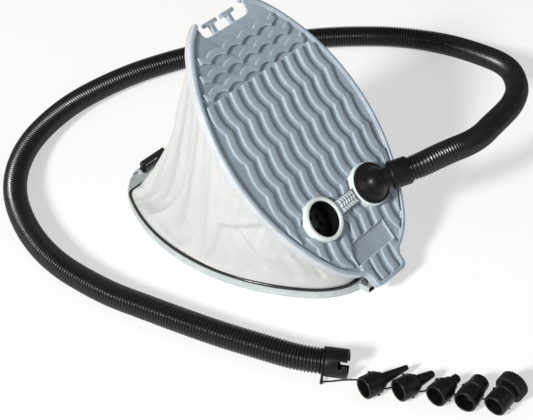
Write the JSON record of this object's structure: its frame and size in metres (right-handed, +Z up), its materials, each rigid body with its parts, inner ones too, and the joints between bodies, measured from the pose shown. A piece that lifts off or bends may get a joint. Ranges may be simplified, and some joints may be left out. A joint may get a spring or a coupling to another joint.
{
  "type": "foot air pump",
  "caption": "Oval bellows foot pump: hinged tread board over a sprung fabric chamber, ported, with a corrugated hose on an elbow and a string of tethered nozzles.",
  "frame": {"origin": "centre of the base board's oval outline, on the floor", "axes": "+Z up, +Y from the hinge towards the latch end of the boards, +X to the side of the port that holds the hose"},
  "size_m": [0.5653, 0.6158, 0.2217],
  "materials": {
    "base_plastic": "satin",
    "board_plastic": "satin",
    "steel": "satin",
    "spring_steel": "satin",
    "fabric": "matt",
    "band": "gloss",
    "rubber": "satin",
    "flap_rubber": "matt",
    "valve_plastic": "satin",
    "black_plastic": "satin",
    "hose_plastic": "gloss"
  },
  "bodies": {
    "base": {"base_board": "base_plastic", "base_clamp_band": "band", "bellows": "fabric", "return_spring": "spring_steel", "hinge_pin": "steel", "hinge_clip": "steel", "latch_pin": "steel", "hose": "hose_plastic", "hose_end_cuff": "black_plastic", "tether_ring": "black_plastic", "tether_cord": "rubber"},
    "tread": {"top_board": "board_plastic", "top_clamp_band": "band", "inlet_valve_seat": "valve_plastic", "outlet_valve_seat": "valve_plastic"},
    "elbow": {"hose_elbow": "black_plastic", "elbow_seal": "flap_rubber", "pump_end_cuff": "black_plastic"},
    "inlet_leaf": {"inlet_flap": "flap_rubber"},
    "outlet_leaf": {"outlet_flap": "flap_rubber"},
    "latch": {"latch_strap": "rubber"},
    "nozzle_1": {"needle_nozzle": "black_plastic"},
    "nozzle_2": {"cone_nozzle": "black_plastic"},
    "nozzle_3": {"stepped_nozzle": "black_plastic"},
    "nozzle_4": {"wide_nozzle": "black_plastic"},
    "nozzle_5": {"collar_nozzle": "black_plastic"},
    "nozzle_5_collar": {"knurled_collar": "black_plastic"}
  },
  "joints": [
    {"name": "board_hinge", "type": "hinge", "parent": "base", "child": "tread", "pos_m": [0, -0.146, 0.013], "axis": [1, 0, 0], "range_deg": [-38, 3], "stiffness_Nm_per_rad": 4, "springref_deg": 2.86, "deforming": ["bellows", "return_spring", "hose"]},
    {"name": "elbow_swivel", "type": "hinge", "parent": "tread", "child": "elbow", "pos_m": [0.034, -0.11062, 0.07806], "axis": [0, -0.703, 0.7112], "range_deg": [-10, 10], "deforming": ["hose"]},
    {"name": "inlet_flap_hinge", "type": "hinge", "parent": "tread", "child": "inlet_leaf", "pos_m": [-0.034, -0.08712, 0.07022], "axis": [1, 0, 0], "range_deg": [0, 25]},
    {"name": "outlet_flap_hinge", "type": "hinge", "parent": "tread", "child": "outlet_leaf", "pos_m": [0.034, -0.09007, 0.07321], "axis": [1, 0, 0], "range_deg": [-20, 0]},
    {"name": "latch_hinge", "type": "hinge", "parent": "base", "child": "latch", "pos_m": [0, 0.135, 0.0065], "axis": [1, 0, 0], "range_deg": [-75, 10]},
    {"name": "nozzle_1_turn", "type": "hinge", "parent": "base", "child": "nozzle_1", "pos_m": [-0.11367, -0.23166, 0.01025], "axis": [0.9598, -0.2807, 0], "continuous": true},
    {"name": "nozzle_2_turn", "type": "hinge", "parent": "base", "child": "nozzle_2", "pos_m": [-0.09755, -0.256, 0.01025], "axis": [0.9608, -0.2773, 0], "continuous": true},
    {"name": "nozzle_3_turn", "type": "hinge", "parent": "base", "child": "nozzle_3", "pos_m": [-0.08262, -0.28014, 0.01025], "axis": [0.9987, -0.0506, 0], "continuous": true},
    {"name": "nozzle_4_turn", "type": "hinge", "parent": "base", "child": "nozzle_4", "pos_m": [-0.07293, -0.30055, 0.01025], "axis": [0.9923, 0.1236, 0], "continuous": true},
    {"name": "nozzle_5_turn", "type": "hinge", "parent": "base", "child": "nozzle_5", "pos_m": [-0.06204, -0.32449, 0.01234], "axis": [0.9914, -0.0121, 0.1305], "continuous": true},
    {"name": "collar_spin", "type": "hinge", "parent": "nozzle_5", "child": "nozzle_5_collar", "pos_m": [-0.06204, -0.32449, 0.01234], "axis": [0.9914, -0.0121, 0.1305], "continuous": true}
  ]
}
